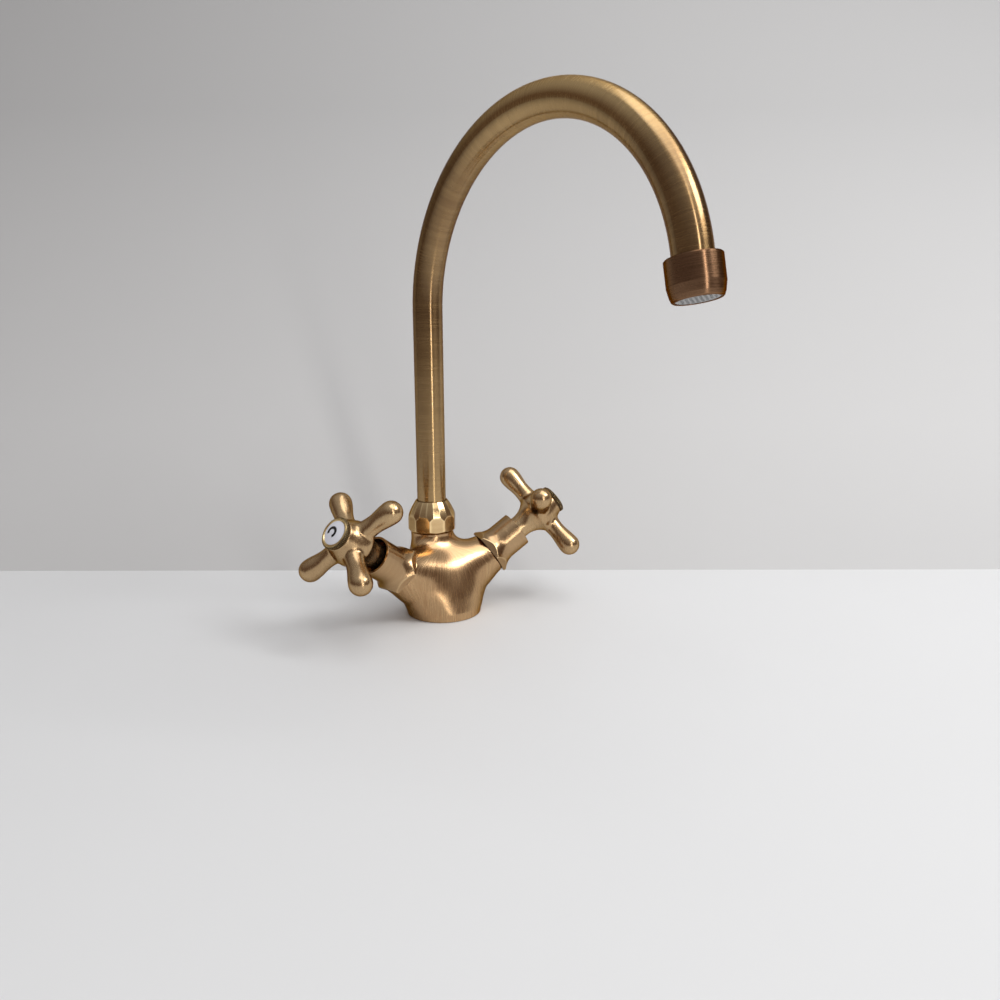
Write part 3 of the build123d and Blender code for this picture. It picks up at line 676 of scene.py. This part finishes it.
def shroud_tone(radius, angle, height):
    """Brighter where the flats meet the bell."""
    flat = shroud_flat / cos(from_middle(angle, pi / 3))
    return edge_brightened(radius - flat, width=0.3, middle=0.48, brighter=0.4)


def ring_shape(radius, angle, height):
    """Sixty fine teeth round the index ring."""
    depth = ring_tooth_depth if radius > ring_radius - ring_tooth_zone else 0
    return radius - depth * (0.5 - 0.5 * cos(ring_teeth * angle))


def ring_painted_light_tone(radius, angle, height):
    """Painted shade between the teeth, painted highlight on their tips and on the bevel inside."""
    if radius < ring_radius - ring_bevel:
        return bevel_highlight_tone
    return gap_shade_tone + tip_highlight_tone * (0.5 + 0.5 * cos(ring_teeth * angle)) ** 3


def stroke_mesh(name, frame_at, paths, width, depth):
    """Flat raised strokes along paths of (right, up) points."""
    vertices, faces = [], []
    for path in paths:
        points = [Vector(point) for point in path]
        start = len(vertices)
        for i, here in enumerate(points):
            before, after = points[max(i - 1, 0)], points[min(i + 1, len(points) - 1)]
            run = (after - before).normalized()
            square = Vector((-run.y, run.x)) * (width / 2)
            for height in (0, depth):
                vertices += [frame_at(here + square, height) * MM, frame_at(here - square, height) * MM]
        last = start + 4 * (len(points) - 1)
        for first in range(start, last, 4):
            a, b, c, d = first, first + 1, first + 2, first + 3
            faces += [(c, d, d + 4, c + 4), (a, c, c + 4, a + 4), (b, b + 4, d + 4, d), (a, a + 4, b + 4, b)]
        faces += [(start, start + 1, start + 3, start + 2), (last, last + 2, last + 3, last + 1)]
    data = bpy.data.meshes.new(name)
    data.from_pydata([tuple(v) for v in vertices], [], faces)
    fix_normals(data)
    return data


def add_index_mark(side, word, paths):
    """The hot or cold letter, on the crown of the porcelain button."""
    axis = valve_axis(side)
    angle = handle_turn[word] + mark_turn
    right = axis.across * cos(angle) + axis.third * sin(angle)
    up = axis.third * cos(angle) - axis.across * sin(angle)

    def frame_at(point, height):
        place = right * (point.x + mark_shift.x) + up * (point.y + mark_shift.y)
        sag = button_dome * (place.length / button_radius) ** 2
        return axis.origin + axis.along * (index_mark_level - sag + height) + place

    name = f"{word}_index_mark"
    data = stroke_mesh(name, frame_at, paths, mark_stroke, mark_depth)
    set_plain_tone(data)
    new_object(name, data, materials["enamel"], f"{word}_handle")


# The photograph's camera, placed in metres
camera_place = Vector((-0.239869, -0.395991, 0.170865))
camera_right, camera_forward = Vector((0.8123, -0.5833, -0.0018)), Vector((0.570, 0.7945, -0.2095))
camera_lens, camera_sensor, camera_near = 27.376, 36.0, 0.01


def make_camera():
    data = bpy.data.cameras.new("camera")
    data.sensor_width = camera_sensor
    data.lens = camera_lens
    data.clip_start = camera_near
    camera = bpy.data.objects.new("camera", data)
    bpy.context.scene.collection.objects.link(camera)
    right = camera_right.normalized()
    back = -camera_forward.normalized()
    up = back.cross(right).normalized()
    right = up.cross(back)
    turn = Matrix((right, up, back)).transposed()
    camera.matrix_world = Matrix.Translation(camera_place) @ turn.to_4x4()
    bpy.context.scene.camera = camera


make_camera()

stage_cloud_size, stage_cloud_shade = 6.0, 0.97
# Painted shade on the backdrop: between these heights in metres it darkens to this share of its colour
backdrop_fade, backdrop_painted_shade = (0.10, 0.42), 0.78


def stage_plane(name, corners, material):
    data = bpy.data.meshes.new(name)
    data.from_pydata(corners, [], [tuple(range(len(corners)))])
    thing = bpy.data.objects.new(name, data)
    bpy.context.scene.collection.objects.link(thing)
    data.materials.append(material)


def stage_material(name, colour, rough, backdrop=False):
    """A pale cloudy surface; the backdrop has painted shade darkening it toward its top and is clear from
    behind.
    """
    s = Shader(name)
    cloud = s.noise(s.coordinates(), stage_cloud_size, detail=3.0)
    shade = s.mix(cloud, tuple(c * stage_cloud_shade for c in colour), colour)
    if backdrop:
        # Painted shade, darker toward the backdrop's top
        place = s.node("ShaderNodeSeparateXYZ", {"Vector": s.coordinates()})
        height = s.levels(place.outputs["Z"], *backdrop_fade, 0.0, 1.0)
        shade = s.mix(height, shade, tuple(c * backdrop_painted_shade for c in colour))
        clear = s.node("ShaderNodeBsdfTransparent")
        behind = s.node("ShaderNodeNewGeometry").outputs["Backfacing"]
        mixed = s.node("ShaderNodeMixShader", {"Fac": behind})
        s.tree.links.new(s.principled.outputs["BSDF"], mixed.inputs[1])
        s.tree.links.new(clear.outputs["BSDF"], mixed.inputs[2])
        s.tree.links.new(mixed.outputs["Shader"], s.tree.nodes["Material Output"].inputs["Surface"])
    s.set(Base_Color=shade, Roughness=rough)
    return s.material


floor_size, wall_height = 3.0, 2.0
floor_corners = [(floor_size * x, floor_size * y, 0) for x, y in ((-1, -1), (1, -1), (1, 1), (-1, 1))]
stage_plane("floor", floor_corners, stage_material("pale floor", (0.70, 0.70, 0.70), 0.5))

# The backdrop leans away, so that the spout can swing past it
wall_foot = Vector((0.0787, 0.0483, 0))
wall_along = Vector((0.8123, -0.5833, 0)).normalized()
wall_lean = 0.88
wall_up = Vector((0.583 * wall_lean, 0.8123 * wall_lean, 1))
left_foot, right_foot = wall_foot - wall_along * floor_size, wall_foot + wall_along * floor_size
stage_plane(
    "backdrop",
    [left_foot, right_foot, right_foot + wall_up * wall_height, left_foot + wall_up * wall_height],
    stage_material("pale backdrop", (0.555, 0.552, 0.55), 0.7, backdrop=True),
)


def area_light(name, place, target, size, power, colour=(1, 1, 1)):
    data = bpy.data.lights.new(name, "AREA")
    data.shape = "RECTANGLE"
    data.size, data.size_y = size
    data.energy = power
    data.color = colour
    lamp = bpy.data.objects.new(name, data)
    bpy.context.scene.collection.objects.link(lamp)
    lamp.location = place
    lamp.rotation_mode = "QUATERNION"
    lamp.rotation_quaternion = (Vector(target) - Vector(place)).to_track_quat("-Z", "Y")


warm_white = (1.0, 0.985, 0.95)
cool_white = (0.97, 0.985, 1.0)
area_light("key", (0.56, -0.80, 0.98), (0, 0, 0.12), (0.54, 0.36), 6.4, cool_white)
area_light("window", (-0.17, -1.28, 0.56), (0, 0.01, 0.56), (0.12, 1.1), 3.4, warm_white)
area_light("ceiling", (0.25, -0.55, 1.75), (0, 0, 0.1), (1.5, 1.5), 16.5)


# The room's colour at eye level, a little above it and overhead
room_shades = ((0.0, (0.15, 0.103, 0.08)), (0.3, (0.15, 0.108, 0.088)), (0.85, (0.5, 0.51, 0.53)))


def make_world():
    """A dim room: dark at eye level, lighter overhead."""
    world = bpy.data.worlds.new("soft grey")
    bpy.context.scene.world = world
    world.use_nodes = True
    nodes, links = world.node_tree.nodes, world.node_tree.links
    place = nodes.new("ShaderNodeTexCoord")
    split = nodes.new("ShaderNodeSeparateXYZ")
    ramp = nodes.new("ShaderNodeValToRGB")
    links.new(place.outputs["Generated"], split.inputs["Vector"])
    links.new(split.outputs["Z"], ramp.inputs["Fac"])
    links.new(ramp.outputs["Color"], nodes["Background"].inputs["Color"])
    elements = ramp.color_ramp.elements
    elements.new(room_shades[1][0])
    for element, (height, shade) in zip(elements, room_shades):
        element.position = height
        element.color = (*shade, 1)
    nodes["Background"].inputs["Strength"].default_value = 1.0


make_world()
bpy.context.scene.view_settings.view_transform = "Standard"

column_axis = Axis(column, (0, 0, 1), (1, 0, 0))
nut_outline = [
    (9.4, 64.0), (9.4, 70.1), (16.5, 70.1), (16.5, 53.4), (13.85, nut_foot), (12.05, nut_foot), (12.05, 64.0)
]
nut_mesh = lathe(
    "ten_sided_nut", column_axis, nut_outline,
    segments=480, edge=0.12, shape=nut_shape, step=0.3, tone=nut_edge_highlight,
)
new_object("ten_sided_nut", nut_mesh, materials["nut_brass"], "tap_body", ["spout_nut"])

ring_outline = [
    (ring_bore, hub_top), (ring_bore, 98.85), (7.75, 99.32), (8.5, 99.32), (ring_radius, 98.5),
    (ring_radius, 97.0), (9.0, 96.5), (9.0, hub_top),
]
letters = {"left": [letter_c], "right": letter_f}
for side, word in sides:
    axis = valve_axis(side)
    shroud = lathe(
        f"{word}_bell_shroud", axis, shroud_profile(), segments=480, edge=0.15, shape=shroud_shape, step=0.3,
        tone=shroud_tone,
    )
    new_object(shroud.name, shroud, materials["light_brass"], "tap_body", [f"{word}_shroud"])
    ring = lathe(
        f"{word}_knurled_ring", axis, ring_outline, segments=720, edge=0.12, shape=ring_shape, step=0.25,
        tone=ring_painted_light_tone,
    )
    new_object(
        ring.name, ring, materials["ring_brass"], f"{word}_handle", [f"{word}_index_ring"]
    )
    add_index_mark(side, word, letters[word])

housing_start = 2.3
bend_end = column + spout_forward * bend_radius * (1 - cos(bend_angle))
bend_end += Vector((0, 0, bend_height + bend_radius * sin(bend_angle)))
outlet_direction = spout_forward * sin(bend_angle) + Vector((0, 0, cos(bend_angle)))
outlet_axis = Axis(bend_end + outlet_direction * housing_start, outlet_direction, spout_side)
housing_outline = [
    (11.05, 0), (11.95, 0), (12.45, 0.5), (12.45, 11.5), (11.67, 15.5), (11.0, 17.2), (10.5, 17.7),
    (9.4, 17.7), (9.4, 16.8), (10.2, 16.8), (10.2, 10.5), (11.05, 10.5),
]
housing = lathe("turned_housing", outlet_axis, housing_outline, segments=160, edge=0.2, step=0.5)
new_object(housing.name, housing, materials["dark_brass"], "spout", ["aerator_housing"])
